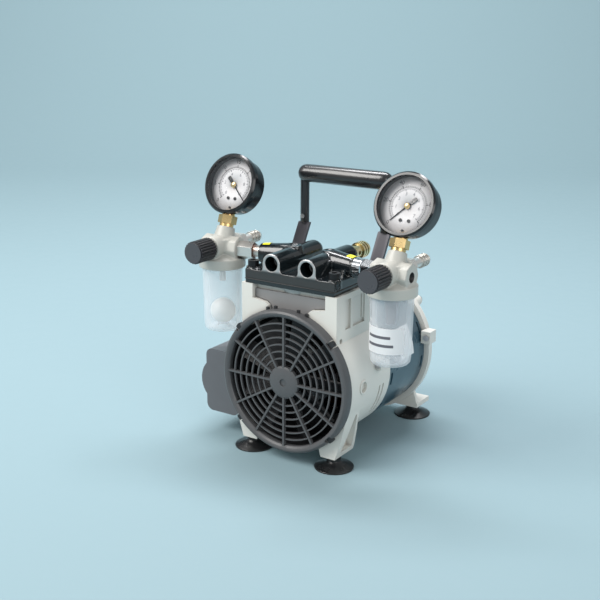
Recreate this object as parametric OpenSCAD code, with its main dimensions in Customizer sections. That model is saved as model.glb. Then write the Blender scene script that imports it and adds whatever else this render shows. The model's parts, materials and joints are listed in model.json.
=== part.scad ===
// Dry rocking-piston vacuum and pressure pump with two regulator traps, two gauges and a carry handle.
// Millimetres. +Z is up, -Y is the fan end, +X is the pressure side. The origin is on the floor, under the middle.
// Sizes along Y are given from the front face of the grille, and the whole is centred at the end.

/* [Overall] */
// Height of the motor shaft above the floor
axis_h = 76.5; // [74:0.5:90]
// Height of the mounting pads above the floor
pad_h = 11; // [9:1:14]
// Height of the crankcase deck above the shaft
deck_up = 84; // [84:0.5:102]

/* [Crankcase] */
// Width of the block under the cylinder head
block_w = 100; // [96:1:120]
// Depth of the block under the cylinder head
block_l = 59; // [58:1:70]
// Outer radius of the round barrel
barrel_r = 65; // [64:0.5:67]
// Wall of the round barrel
barrel_wall = 3.5; // [2.5:0.5:5]
// Distance from the grille face back to the front plate
plate_y = 9; // [8:0.5:11]
// Distance from the grille face back to the end of the barrel
case_back = 81; // [80:1:95]
// Depth of a foot pad
pad_l = 32; // [30:1:40]
// Half of the distance between the left and right feet
foot_x = 44; // [42:0.5:45]

/* [Cylinder] */
// Bore of the cylinder sleeve
bore_d = 44; // [42:1:46]
// Wall of the cylinder sleeve
sleeve_wall = 2; // [1.5:0.25:3]
// Offset of the crank pin from the shaft, half of the stroke
crank_throw = 3; // [2:0.25:3.5]
// Distance from the grille face back to the cylinder axis
cyl_y = 38.5; // [38:0.5:40]

/* [Cylinder head] */
// Thickness of the valve plate
valve_plate_t = 3.5; // [3:0.5:6]
// Thickness of the head gasket
gasket_t = 0.8; // [0.5:0.1:1.5]
// Thickness of the base of the head
head_base_t = 8.5; // [7:0.5:12]
// Distance of each port barrel from the middle
port_x = 18.5; // [17:0.5:20]
// Outer radius of a port barrel
port_r = 9.2; // [8.8:0.1:11]
// Radius of a threaded port hole in the head
port_hole_r = 6.6; // [6:0.1:7]

/* [Motor] */
// Length of the motor shell
shell_l = 69; // [57:1:83]
// Wall of the motor shell
shell_wall = 2; // [1.5:0.5:3]
// Length of the rear end bell
bell_l = 38; // [36:1:46]
// Radius of the motor shaft
shaft_r = 5; // [4:0.25:6]
// Length of the stator and rotor stack
stack_l = 46; // [36:1:46]
// Radius of the rotor
rotor_r = 32; // [26:0.5:34]

/* [Fan and grille] */
// Outer radius of the grille
grille_r = 66.5; // [65:0.5:68]
// Radius of the open area of the grille
grille_open_r = 60; // [57:0.5:61]
// Number of grille spokes
spoke_n = 12; // [8:1:16]
// Number of grille rings
ring_n = 6; // [3:1:7]
// Number of fan blades
blade_n = 9; // [5:1:11]
// Tip radius of the fan
fan_r = 56; // [46:0.5:57]

/* [Traps and gauges] */
// Distance of each trap from the middle
trap_x = 90; // [88:0.5:108]
// Height of the trap ports above the deck
trap_up = 21.5; // [20:0.5:26]
// Radius of the trap cap
cap_r = 21.8; // [21.5:0.1:24]
// Length of the trap jar below the cap
jar_l = 61; // [50:1:66]
// Outer radius of the trap jar at its neck
jar_r = 19; // [17:0.25:19.2]
// Wall of the trap jar
jar_wall = 1.8; // [1.2:0.1:2.4]
// Radius of a regulator knob
knob_r = 10.4; // [9:0.1:12]
// Length of a regulator knob
knob_l = 22.5; // [18:0.5:27]
// Backward tilt of the left gauge
left_tilt = 20; // [10:1:26]
// Backward tilt of the right gauge
right_tilt = 23; // [10:1:26]
// Outer radius of a gauge bezel
gauge_r = 28.5; // [24:0.5:30]
// Depth of a gauge case
gauge_l = 22; // [21:0.5:28]

/* [Box and handle] */
// Length of the electrical box
box_l = 98; // [94:1:110]
// Height of the electrical box
box_h = 63; // [58:1:66]
// Outer radius of a suction foot
foot_r = 18; // [15:0.5:21]
// Height of the middle of the grip above the deck
grip_up = 87; // [70:0.5:104]
// Half of the distance between the legs of the handle
leg_x = 43.5; // [41:0.5:46]

/* [Hidden] */
$fn = 64;
eps = 0.01;
run_clear = 0.05;
part_clear = 0.3;
deck_h = axis_h + deck_up;
half_w = block_w / 2;
block_back = plate_y + block_l;
plate_t = 4;
side_wall = 6;
deck_t = 6.5;
deck_front = plate_y + 7;
case_ri = barrel_r - barrel_wall;
bulk_y0 = 56;
bulk_y1 = 66;
shell_y1 = case_back + shell_l;
back_y = shell_y1 + bell_l;
trap_y = 33;
knob_rear = trap_y - 21;
front_y = knob_rear - knob_l;
pad_front = plate_y;
rear_pad_y = back_y - 27;
foot_y1 = plate_y + 9;
foot_y2 = rear_pad_y + 10;
mid_y = (min(front_y, foot_y1 - foot_r) + max(back_y, foot_y2 + foot_r)) / 2;
bearing_r = 15;
bearing_w = 9;
front_brg_y = bulk_y0 + 0.5;
rear_brg_y = back_y - 17;
sleeve_ro = bore_d / 2 + sleeve_wall;
flange_ro = sleeve_ro + 2;
flange_t = 2;
sleeve_z0 = deck_h - 26;
plate_z0 = deck_h;
gasket_z0 = plate_z0 + valve_plate_t;
head_z0 = gasket_z0 + gasket_t;
head_top = head_z0 + head_base_t;
port_z = head_top + 7.5;
head_y0 = plate_y + 1;
head_y1 = block_back - 1;
bolt_x = half_w - 7.5;
bolt_y = [plate_y + 8, block_back - 8];
bolt_r = 2.9;
bolt_clear = 0.1;
thread_clear = 0.1;
trap_bore_r = 5;
fit_hex_r = 8.4;
boss_r = 6.5;
boss_h = 1.5;
rod_w = 10;
ecc_r = shaft_r + crank_throw + 3;
brg_ri = ecc_r + run_clear;
brg_ro = brg_ri + 7;
pin_z = axis_h + crank_throw;
top_gap = 0.6;
piston_r = bore_d / 2 - crank_throw - 0.4;
retainer_z1 = deck_h - top_gap;
cup_z0 = retainer_z1 - 4.2;
fan_y0 = plate_y + 2.5;
fan_l = 13;
stack_y0 = shell_y1 - 3.5 - stack_l;
tie_pos = 57.5;
port_h = deck_h + trap_up;
knob_h = port_h + 3;
barb_h = port_h + 1.4;
splay = 11.7;
boss_y = trap_y + (trap_x - port_x) * tan(splay);
stub = 3.6;
float_r = 12;
cap_z1 = port_h - 7.5;
cap_z0 = cap_z1 - 9.7;
cap_ceiling = 2.7;
jar_top = cap_z1 - cap_ceiling - part_clear;
jar_z0 = cap_z0 - jar_l;
jar_ri = jar_r - jar_wall;
trap_port_r = 4.4;
hex_r = 12;
trap_arm = 18;
spindle_r = 3;
gauge_up = 59.5;
gauge_fwd = 9;
dial_in = 9;
boss_len = 20;
stem_r = 5;
box_x0 = barrel_r + 3;
box_wall = 2.5;
base_t = 3.5;
box_x1 = box_x0 + 38;
box_z0 = axis_h + 6.5 - box_h;
box_y0 = 26;
box_y1 = box_y0 + box_l;
bulge_r = 24;
bulge_x = box_x0 + 20;
bulge_z = box_z0 + box_h / 2;
cap_body_r = bulge_r - box_wall - 1;
rock_w = 12;
rock_h = 17;
rock_y = box_y1 - 3.5;
rock_pin_r = 1.4;
grip_z = deck_h + grip_up;
strap_w = 12.5;
strap_t = 3;
tongue_w = 5;
leg_r = 4.3;
grip_r = 8.4;
grip_half = leg_x + leg_r + 1;
lean = 0.571;
tab_z0 = deck_h - 30.3;
bolt_z0 = tab_z0 + 10.3;
lean_z0 = deck_h - 18.5;
lean_z1 = deck_h + 40;
leg_y = block_back + lean * (lean_z1 - lean_z0) + strap_t / 2;

// ---- placing ----
module home() translate([0, -mid_y, 0]) children();
module left() mirror([1, 0, 0]) children();
module both() { children(); mirror([1, 0, 0]) children(); }
module ycyl(r, y0, y1, x = 0, z = axis_h) translate([x, y1, z]) rotate([90, 0, 0]) cylinder(r = r, h = y1 - y0);
module xcyl(r, x0, x1, y, z) translate([x0, y, z]) rotate([0, 90, 0]) cylinder(r = r, h = x1 - x0);
module zcyl(r, z0, z1, x, y) translate([x, y, z0]) cylinder(r = r, h = z1 - z0);
module box(x0, x1, y0, y1, z0, z1) translate([x0, y0, z0]) cube([x1 - x0, y1 - y0, z1 - z0]);
// A profile of [radius, distance along Y] turned about the shaft
module shaft_turn() translate([0, 0, axis_h]) rotate([-90, 0, 0]) rotate_extrude() children();
// A flat shape drawn as [x, z], given a depth along Y
module wall_y(y0, y1) translate([0, y1, 0]) rotate([90, 0, 0]) linear_extrude(y1 - y0) children();
// A flat shape drawn as [y, z], given a width along X
module wall_x(x0, x1) translate([x0, 0, 0]) rotate([90, 0, 90]) linear_extrude(x1 - x0) children();
// Turned a little about a trap, so that it points from the trap to the boss on the head
module splayed() translate([trap_x, trap_y, 0]) rotate([0, 0, -splay]) translate([-trap_x, -trap_y, 0]) children();
module round_rect(x0, x1, z0, z1, r) {
    translate([x0 + r, z0]) square([x1 - x0 - 2 * r, z1 - z0]);
    translate([x0, z0 + r]) square([x1 - x0, z1 - z0 - 2 * r]);
    for (x = [x0 + r, x1 - r], z = [z0 + r, z1 - r]) translate([x, z]) circle(r = r);
}
// Four places on a circle about the shaft, away from the legs and the deck
module four_tie() for (a = [45, 135, 225, 315]) translate([tie_pos * cos(a), 0, axis_h + tie_pos * sin(a)]) children();

// ---- crankcase and what closes it ----
module leg_face() polygon([[barrel_r - 1, axis_h], [barrel_r - 1.2, axis_h - 5], [60.4, 48.7], [56.4, 32.4],
    [foot_x + 6, pad_h], [foot_x - 9, pad_h], [foot_x - 12, pad_h + 12], [38, axis_h - 20]]);

module mouth_face() union() {
    polygon([[-38.3, deck_h + 1], [-38.3, deck_h - 13], [-24.4, deck_h - 15], [-21.2, deck_h - 17.5], [-21.2, axis_h + 50],
        [21.2, axis_h + 50], [21.2, deck_h - 17.5], [24.4, deck_h - 15], [38.3, deck_h - 13], [38.3, deck_h + 1]]);
}

module case_body() {
    difference() {
        union() {
            ycyl(barrel_r, plate_y, case_back);
            box(-half_w, half_w, plate_y, block_back, axis_h, deck_h);
            both() difference() {
                intersection() {
                    wall_y(pad_front, pad_front + pad_l) leg_face();
                    wall_x(0, 100) polygon([[pad_front - 1, 0], [pad_front + pad_l, 0], [pad_front + pad_l, pad_h + 5],
                        [pad_front + pad_l - 8, pad_h + 33], [pad_front + pad_l - 10, axis_h + 10], [pad_front - 1, axis_h + 10]]);
                }
                wall_x(foot_x + 1.5, foot_x + 40) polygon([[pad_front + 7, pad_h + 5], [pad_front + pad_l - 5, pad_h + 5],
                    [pad_front + pad_l - 12, pad_h + 40], [pad_front + pad_l - 15, pad_h + 40]]);
            }
        }
        ycyl(case_ri, plate_y - 1, bulk_y0);
        ycyl(case_ri, bulk_y1, case_back + 1);
        difference() {
            box(-half_w + side_wall, half_w - side_wall, plate_y + plate_t, block_back - 4, axis_h + 30, deck_h - deck_t);
            ycyl(case_ri + 0.5, bulk_y0, case_back + 1);
        }
        box(-38.3, 38.3, plate_y - 1, deck_front, deck_h - deck_t - eps, deck_h + 1);
        wall_y(plate_y - 1, plate_y + plate_t + eps) mouth_face();
        both() {
            box(half_w - 2, half_w + 1, 24, 33, axis_h + 52, deck_h - 5);
            box(half_w - 2, half_w + 1, 37, 57, axis_h + 52, deck_h - 5);
            xcyl(2.3, half_w - 4, half_w + 1, 16.8, axis_h + 43.5);
            for (y = [case_back - 19.5, case_back - 13]) difference() {
                intersection() {
                    ycyl(barrel_r + 1, y, y + 2.5);
                    box(40, 80, y - 1, y + 4, axis_h - 36, axis_h - 8);
                }
                ycyl(barrel_r - 1.2, y - 1, y + 4);
            }
        }
    }
    both() {
        box(38.5, half_w - 1, plate_y + 2, plate_y + 14, deck_h - 28, deck_h - 1);
        box(38.5, half_w - 1, block_back - 14, block_back - 2, deck_h - 28, deck_h - 1);
        difference() {
            box(barrel_r - 4, barrel_r + 4, 55, 64, axis_h + 9, axis_h + 19);
            ycyl(barrel_r - 1, 54, 65);
        }
        difference() {
            xcyl(6.4, barrel_r - 4, barrel_r + 0.9, 31.5, axis_h);
            ycyl(barrel_r - 1.5, 20, 45);
        }
    }
    four_tie() ycyl(5.5, case_back - 20, case_back - 6, 0, 0);
    for (a = [42, 138, 222, 318]) translate([0, 0, axis_h]) rotate([0, -a, 0])
        box(grille_open_r + 3, grille_r - 0.5, 3, plate_y + 1, -3.6, 3.6);
}

module crankcase() color([0.86, 0.85, 0.81]) home() difference() {
    case_body();
    zcyl(sleeve_ro + run_clear, sleeve_z0 - 1, deck_h + 1, 0, cyl_y);
    zcyl(flange_ro, deck_h - flange_t, deck_h + 1, 0, cyl_y);
    for (x = [-bolt_x, bolt_x], y = bolt_y) zcyl(bolt_r + bolt_clear, bolt_z0 - 0.5, deck_h + 1, x, y);
    ycyl(bearing_r, front_brg_y, front_brg_y + bearing_w);
    ycyl(shaft_r + 4, bulk_y0 - 1, bulk_y1 + 1);
    for (a = [0:60:300]) ycyl(11, bulk_y0 - 1, bulk_y1 + 1, 38 * cos(a), axis_h + 38 * sin(a));
    four_tie() ycyl(2, case_back - 18, case_back, 0, 0);
    both() {
        zcyl(2.5, pad_h - 1, pad_h + 14, foot_x, foot_y1);
        ycyl(1.6, 53, 61, barrel_r + 1.8, axis_h + 14);
        xcyl(4.9, barrel_r - 2, barrel_r + 2, 31.5, axis_h);
        ycyl(2, block_back - 8, block_back + 1, leg_x, tab_z0 + 7);
    }
}

module fan_grille() color([0.27, 0.28, 0.3]) home() difference() {
    union() {
        shaft_turn() polygon([[grille_open_r, 2.5], [grille_open_r + 1, 1], [grille_open_r + 2.5, 0.2], [grille_r - 2.5, 0],
            [grille_r - 0.8, 1], [grille_r, 3], [grille_r, plate_y], [grille_open_r + 3, plate_y], [grille_open_r, plate_y - 2]]);
        shaft_turn() polygon([[0, 0.8], [13, 0.8], [15, 1.8], [15, 5], [0, 5]]);
        for (a = [0:360 / spoke_n:359]) translate([0, 0, axis_h]) rotate([0, a, 0])
            box(14, grille_open_r + 1.5, 1.2, 4.6, -0.9, 0.9);
        for (i = [1:ring_n]) shaft_turn() translate([15 + i * (grille_open_r - 15) / (ring_n + 1), 2.2]) square([1.2, 2]);
        for (x = [-20.5, -12, 12, 20.5]) box(x - 1.3, x + 1.3, plate_y - 2.5, plate_y - 0.3, axis_h + sqrt(grille_r * grille_r - x * x) - 1, axis_h + sqrt(grille_r * grille_r - x * x) + 2.4);
    }
    ycyl(3.5, -1, 2);
    for (a = [42, 138, 222, 318]) translate([0, 0, axis_h]) rotate([0, -a, 0])
        box(grille_open_r + 3, grille_r + 1, -1, plate_y + 1, -3.6, 3.6);
}

module air_baffle() color([0.42, 0.43, 0.44]) home() difference() {
    wall_y(plate_y + 4.5, deck_front) polygon([[-38.2, deck_h - 5], [-38.2, deck_h - 12.8], [-24.4, deck_h - 14.8],
        [-21, deck_h - 17.3], [-21, axis_h + 61], [21, axis_h + 61], [21, deck_h - 17.3], [24.4, deck_h - 14.8],
        [38.2, deck_h - 12.8], [38.2, deck_h - 5]]);
    zcyl(sleeve_ro + part_clear, sleeve_z0 - 1, deck_h + 1, 0, cyl_y);
}

module cylinder_sleeve() color([0.74, 0.75, 0.76]) home() difference() {
    union() {
        zcyl(sleeve_ro, sleeve_z0, deck_h, 0, cyl_y);
        zcyl(flange_ro, deck_h - flange_t, deck_h, 0, cyl_y);
    }
    zcyl(bore_d / 2, sleeve_z0 - 1, deck_h + 1, 0, cyl_y);
}

module valve_plate() color([0.6, 0.61, 0.62]) home() difference() {
    box(-half_w + 3.5, half_w - 3.5, head_y0, head_y1, plate_z0, gasket_z0);
    for (x = [-bolt_x, bolt_x], y = bolt_y) zcyl(bolt_r + bolt_clear, plate_z0 - 1, gasket_z0 + 1, x, y);
    for (x = [-12, 12], y = [-6, 6]) zcyl(2.6, plate_z0 - 1, gasket_z0 + 1, x, cyl_y + y);
    box(-17, -7, cyl_y - 11, cyl_y + 11, plate_z0 - 1, plate_z0 + 0.4);
}

module valve_reeds() color([0.7, 0.72, 0.74]) home() {
    box(7.5, 16.5, cyl_y - 11, cyl_y + 11, gasket_z0, gasket_z0 + 0.4);
    box(-16.8, -7.2, cyl_y - 10.8, cyl_y + 10.8, plate_z0, plate_z0 + 0.4);
}

module head_chambers(z0, z1) both() box(3, port_x + 15, cyl_y - 19, cyl_y + 19, z0, z1);

module head_gasket() color([0.3, 0.29, 0.28]) home() difference() {
    box(-half_w + 3, half_w - 3, head_y0 - 0.3, head_y1 + 0.3, gasket_z0, head_z0);
    head_chambers(gasket_z0 - 1, head_z0 + 1);
    for (x = [-bolt_x, bolt_x], y = bolt_y) zcyl(bolt_r + bolt_clear, gasket_z0 - 1, head_z0 + 1, x, y);
}

module cylinder_head() color([0.08, 0.09, 0.1]) home() difference() {
    union() {
        wall_y(head_y0, head_y1) translate([0, head_z0]) square([2 * half_w - 6, 2 * head_base_t], center = true);
        both() {
            ycyl(port_r, head_y0 - 0.5, head_y1 + 13, port_x, port_z);
            translate([port_x, head_y1 + 13, port_z]) rotate([-90, 0, 0]) cylinder(r1 = port_r, r2 = port_r - 1.5, h = 4);
            wall_y(head_y0 - 0.5, head_y1 - 3) polygon([[port_x - port_r - 3, head_top - 1], [port_x - port_r - 1.5, head_top],
                [port_x - port_r, head_top + 2.5], [port_x - port_r, port_z], [port_x + port_r, port_z],
                [port_x + port_r, head_top + 2.5], [port_x + port_r + 1.5, head_top], [port_x + port_r + 3, head_top - 1]]);
            splayed() {
                translate([port_x - 1, trap_y, port_z]) rotate([0, 90, 0]) cylinder(r1 = 12, r2 = port_r, h = half_w - 2 - port_x);
                xcyl(port_r, half_w - 4, half_w, trap_y, port_z);
                wall_x(port_x + 4, half_w - 6) polygon([[trap_y - 13, head_top - 1], [trap_y - port_r, port_z], [trap_y + port_r, port_z], [trap_y + 13, head_top - 1]]);
            }
            translate([port_x, boss_y, port_z]) cylinder(r1 = 9.5, r2 = 6.8, h = 10.4);
            wall_x(port_x + 8, port_x + 10) polygon([[head_y0 + 4, head_top - 1], [boss_y - 14, port_z + 5], [boss_y, head_top - 1]]);
            wall_x(port_x - 9, port_x - 7) polygon([[head_y0 + 6, head_top - 1], [boss_y - 14, port_z + 4], [boss_y, head_top - 1]]);
        }
        for (x = [-bolt_x, bolt_x], y = bolt_y) zcyl(boss_r, head_z0 + 1, head_top + boss_h, x, y);
    }
    box(-half_w, half_w, 0, 120, head_z0 - 20, head_z0);
    head_chambers(head_z0 - 1, head_top - 3);
    both() {
        ycyl(port_hole_r, head_y0 - 2, head_y0 + 14, port_x, port_z);
        ycyl(4.5, head_y0 - 2, head_y1 - 6, port_x, port_z);
        ycyl(5, head_y1 + 5, head_y1 + 20, port_x, port_z);
        splayed() {
            xcyl(6, half_w - 10, half_w + 1, trap_y, port_z);
            xcyl(4, port_x, half_w, trap_y, port_z);
        }
        zcyl(4, head_z0 + 1, port_z, port_x, cyl_y);
        zcyl(4.7, port_z + 9.6, port_z + 14, port_x, boss_y);
    }
    for (x = [-bolt_x, bolt_x], y = bolt_y) {
        zcyl(bolt_r + bolt_clear, head_z0 - 1, head_top + 9, x, y);
        zcyl(boss_r + 0.5, head_top + boss_h, head_top + 20, x, y);
    }
}

module head_bolts() color([0.12, 0.12, 0.13]) home() for (x = [-bolt_x, bolt_x], y = bolt_y) difference() {
    union() {
        zcyl(bolt_r, bolt_z0, head_top + boss_h + 0.5, x, y);
        zcyl(5, head_top + boss_h, head_top + boss_h + 5.5, x, y);
    }
    translate([x, y, head_top + boss_h + 2.5]) cylinder(r = 2.8, h = 4, $fn = 6);
}

// ---- motor ----
module shaft_bearings() color([0.7, 0.71, 0.72]) home() for (y = [front_brg_y, rear_brg_y]) difference() {
    ycyl(bearing_r, y, y + bearing_w);
    ycyl(shaft_r + run_clear, y - 1, y + bearing_w + 1);
    for (s = [-1, bearing_w - 0.8]) difference() {
        ycyl(12, y + s, y + s + 1.8);
        ycyl(8, y + s - 1, y + s + 3);
    }
}

module motor_shell() color([0.2, 0.3, 0.36]) home() difference() {
    ycyl(barrel_r, case_back, shell_y1);
    ycyl(barrel_r - shell_wall, case_back - 1, shell_y1 + 1);
    for (a = [0:30:330]) translate([0, 0, axis_h]) rotate([0, a + 8, 0]) {
        box(barrel_r - 6, barrel_r + 3, case_back + 3, case_back + 6, -6, 6);
        box(barrel_r - 6, barrel_r + 3, shell_y1 - 6, shell_y1 - 3, -6, 6);
    }
}

module stator_core() color([0.36, 0.37, 0.38]) home() difference() {
    ycyl(barrel_r - shell_wall, stack_y0, stack_y0 + stack_l);
    ycyl(rotor_r + 0.5, stack_y0 - 1, stack_y0 + stack_l + 1);
    for (a = [0:30:330]) ycyl(3.2, stack_y0 - 1, stack_y0 + stack_l + 1, (rotor_r + 7) * cos(a), axis_h + (rotor_r + 7) * sin(a));
    four_tie() ycyl(2.2, stack_y0 - 1, stack_y0 + stack_l + 1, 0, 0);
}

module stator_windings() color([0.66, 0.36, 0.16]) home() {
    for (y = [stack_y0 - 9, stack_y0 + stack_l]) difference() {
        ycyl(rotor_r + 18, y, y + 9);
        ycyl(rotor_r + 3.5, y - 1, y + 10);
    }
    for (a = [0:30:330]) ycyl(3.2, stack_y0 - 1, stack_y0 + stack_l + 1, (rotor_r + 7) * cos(a), axis_h + (rotor_r + 7) * sin(a));
}

module rear_end_bell() color([0.86, 0.85, 0.81]) home() difference() {
    union() {
        difference() {
            shaft_turn() polygon([[0, shell_y1], [70, shell_y1], [70, shell_y1 + 7], [67, shell_y1 + 10], [63.5, back_y - 20],
                [57, back_y - 9], [49, back_y - 2], [43, back_y], [0, back_y]]);
            shaft_turn() polygon([[0, shell_y1 - 1], [barrel_r - shell_wall, shell_y1 - 1], [barrel_r - shell_wall, shell_y1 + 7], [60, back_y - 21],
                [53.5, back_y - 11.5], [46.5, back_y - 5], [19, back_y - 4], [19, back_y - 20], [0, back_y - 20]]);
            for (a = [0:30:330]) translate([0, 0, axis_h]) rotate([0, a, 0]) box(27, 46, back_y - 12, back_y + 1, -4, 4);
        }
        ycyl(19, back_y - 18, back_y);
        for (a = [45, 135, 225, 315]) translate([0, 0, axis_h]) rotate([0, a, 0]) translate([tie_pos, 0, 0]) ycyl(5.5, back_y - 20, back_y - 8, 0, 0);
        both() {
            wall_y(rear_pad_y, rear_pad_y + 4) polygon([[foot_x - 27, pad_h], [foot_x + 10, pad_h], [foot_x + 8, pad_h + 10],
                [foot_x + 2, pad_h + 27], [foot_x - 10, pad_h + 27], [foot_x - 27, pad_h + 8]]);
            box(foot_x - 14, foot_x + 10, rear_pad_y, back_y, pad_h, pad_h + 4.5);
            wall_x(foot_x - 14, foot_x - 10) polygon([[rear_pad_y, pad_h], [back_y, pad_h], [back_y - 10, pad_h + 22], [rear_pad_y, pad_h + 22]]);
            box(barrel_r + 0.5, barrel_r + 10, shell_y1 - 9, shell_y1 + 4, axis_h + 11, axis_h + 23);
        }
    }
    ycyl(bearing_r, rear_brg_y, rear_brg_y + bearing_w);
    ycyl(shaft_r + 4, back_y - 22, back_y - 3);
    box(-80, 80, shell_y1 - 12, back_y + 1, 0, pad_h);
    four_tie() {
        ycyl(2.2, rear_pad_y - 1, back_y + 1, 0, 0);
        ycyl(5.6, back_y - 8, back_y + 1, 0, 0);
    }
    both() {
        zcyl(2.5, pad_h - 1, pad_h + 8, foot_x, foot_y2);
        ycyl(1.6, shell_y1 - 10, shell_y1 - 1, barrel_r + 6.3, axis_h + 17);
    }
}

module through_bolts() color([0.7, 0.71, 0.72]) home() four_tie() {
    ycyl(2, case_back - 16, back_y - 7.5, 0, 0);
    difference() {
        ycyl(4, back_y - 8, back_y - 4.5, 0, 0);
        ycyl(1.7, back_y - 6, back_y - 4, 0, 0);
    }
}

module lug_screws() color([0.6, 0.61, 0.62]) home() both() {
    for (p = [[barrel_r + 1.8, 55, axis_h + 14], [barrel_r + 6.3, shell_y1 - 9, axis_h + 17]]) {
        ycyl(1.6, p[1] - 0.5, p[1] + 6, p[0], p[2]);
        ycyl(2.8, p[1] - 1.6, p[1], p[0], p[2]);
    }
}

module motor_shaft() color([0.68, 0.69, 0.7]) home() ycyl(shaft_r, fan_y0 - 0.5, rear_brg_y + bearing_w + 2);

module rotor_core() color([0.5, 0.5, 0.52]) home() difference() {
    union() {
        ycyl(rotor_r, stack_y0, stack_y0 + stack_l);
        ycyl(rotor_r - 4, stack_y0 - 4, stack_y0 + stack_l + 4);
    }
    ycyl(shaft_r, stack_y0 - 5, stack_y0 + stack_l + 5);
}

module cooling_fan() color([0.1, 0.1, 0.11]) home() difference() {
    union() {
        ycyl(13, fan_y0, fan_y0 + fan_l);
        for (a = [0:360 / blade_n:359]) translate([0, fan_y0 + fan_l / 2, axis_h]) rotate([0, a, 0]) rotate([38, 0, 0])
            translate([10, -1, -9]) cube([fan_r - 10.8, 2, 18]);
    }
    ycyl(shaft_r, fan_y0 - 1, fan_y0 + fan_l + 1);
    difference() {
        ycyl(fan_r + 20, fan_y0 - 10, fan_y0 + fan_l + 10);
        ycyl(fan_r, fan_y0, fan_y0 + fan_l);
    }
}

module eccentric() color([0.55, 0.55, 0.56]) home() difference() {
    union() {
        ycyl(ecc_r, cyl_y - 7, cyl_y + 7.5, 0, pin_z);
        ycyl(13, cyl_y + 7.5, cyl_y + 15);
        intersection() {
            ycyl(30, cyl_y + 7.8, cyl_y + 15);
            box(-32, 32, cyl_y, cyl_y + 30, 0, axis_h);
        }
    }
    ycyl(shaft_r, cyl_y - 10, cyl_y + 20);
}

// ---- piston ----
module rod_bearing() color([0.7, 0.71, 0.72]) home() difference() {
    ycyl(brg_ro, cyl_y - rod_w / 2, cyl_y + rod_w / 2, 0, pin_z);
    ycyl(brg_ri, cyl_y - rod_w, cyl_y + rod_w, 0, pin_z);
}

module connecting_rod() color([0.72, 0.73, 0.74]) home() difference() {
    union() {
        ycyl(brg_ro + 4, cyl_y - rod_w / 2, cyl_y + rod_w / 2, 0, pin_z);
        box(-6.5, 6.5, cyl_y - rod_w / 2, cyl_y + rod_w / 2, pin_z + brg_ro + 1, cup_z0 - 3);
        zcyl(piston_r - 1, cup_z0 - 4.5, cup_z0, 0, cyl_y);
    }
    ycyl(brg_ro, cyl_y - rod_w, cyl_y + rod_w, 0, pin_z);
}

module piston_cup() color([0.16, 0.15, 0.14]) home() translate([0, cyl_y, 0]) rotate_extrude()
    polygon([[0, cup_z0], [piston_r - 1, cup_z0], [piston_r, cup_z0 + 1], [piston_r, cup_z0 + 3.6], [piston_r - 1, cup_z0 + 3.6],
        [piston_r - 1.6, cup_z0 + 1.6], [0, cup_z0 + 1.6]]);

module cup_retainer() color([0.7, 0.71, 0.72]) home() difference() {
    zcyl(piston_r - 4, cup_z0 + 1.6, retainer_z1, 0, cyl_y);
    translate([0, cyl_y, retainer_z1 - 1.4]) cylinder(r = 3, h = 4, $fn = 6);
}

module relief_valve() color([0.78, 0.6, 0.25]) home() difference() {
    union() {
        ycyl(5, head_y1 + 5, head_y1 + 18, port_x, port_z);
        ycyl(6.3, head_y1 + 17.3, head_y1 + 30, port_x, port_z);
        for (y = [30, 34, 38]) ycyl(7.8, head_y1 + y, head_y1 + y + 2.4, port_x, port_z);
        ycyl(6.6, head_y1 + 29, head_y1 + 43, port_x, port_z);
    }
    ycyl(3, head_y1 + 32, head_y1 + 44, port_x, port_z);
    zcyl(2, port_z - 10, port_z + 10, port_x, head_y1 + 24);
    xcyl(2, port_x - 10, port_x + 10, head_y1 + 24, port_z);
}

// ---- electrical box on the left ----
module box_face(grow) {
    round_rect(box_x0 + grow, box_x1 - grow, box_z0 + grow, box_z0 + box_h - grow, 7);
    translate([bulge_x, bulge_z]) circle(r = bulge_r - grow);
}

module box_base() color([0.22, 0.23, 0.25]) home() left() difference() {
    union() {
        intersection() {
            wall_y(box_y0, box_y1) box_face(0);
            box(box_x0, box_x0 + base_t, 0, 200, 0, 200);
        }
        for (y = [60, case_back + 34]) xcyl(6, barrel_r - 3, box_x0 + 1, y, axis_h - 4);
        box(box_x0 + base_t - 1, box_x0 + base_t + 6, 55, 90, bulge_z - 12, bulge_z + 12);
    }
    ycyl(barrel_r, 0, 200);
    ycyl(cap_body_r, 40, 108, bulge_x + 1, bulge_z);
}

module box_cover() color([0.24, 0.25, 0.27]) home() left() difference() {
    union() {
        intersection() {
            difference() {
                wall_y(box_y0, box_y1) box_face(0);
                wall_y(box_y0 + box_wall, box_y1 - box_wall) box_face(box_wall);
            }
            box(box_x0 + base_t, box_x1 + 20, 0, 200, 0, 200);
        }
        for (s = [-1, 1]) translate([bulge_x + s * (rock_w / 2 + 2), rock_y, bulge_z]) box(-1.5, 1.5, -3.2, 1.5, -4, 4);
    }
    box(bulge_x - rock_w / 2 - 0.5, bulge_x + rock_w / 2 + 0.5, box_y1 - 8, box_y1 + 1, bulge_z - rock_h / 2 - 1, bulge_z + rock_h / 2 + 1);
    xcyl(rock_pin_r + run_clear, bulge_x - rock_w / 2 - 2 - part_clear, bulge_x + rock_w / 2 + 2 + part_clear, rock_y, bulge_z);
    ycyl(6, box_y1 - 4, box_y1 + 1, box_x0 + 15, box_z0 + 12);
}

module run_capacitor() color([0.75, 0.76, 0.78]) home() left() union() {
    ycyl(cap_body_r, 42, 104, bulge_x + 1, bulge_z);
    for (z = [-6, 6]) ycyl(2, 104, 110, bulge_x + 1, bulge_z + z);
}

module power_rocker() color([0.08, 0.08, 0.09]) home() left() translate([bulge_x, rock_y, bulge_z]) union() {
    box(-rock_w / 2, rock_w / 2, -3, 4.8, -rock_h / 2, rock_h / 2);
    xcyl(rock_pin_r, -rock_w / 2 - 2, rock_w / 2 + 2, 0, 0);
}

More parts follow.
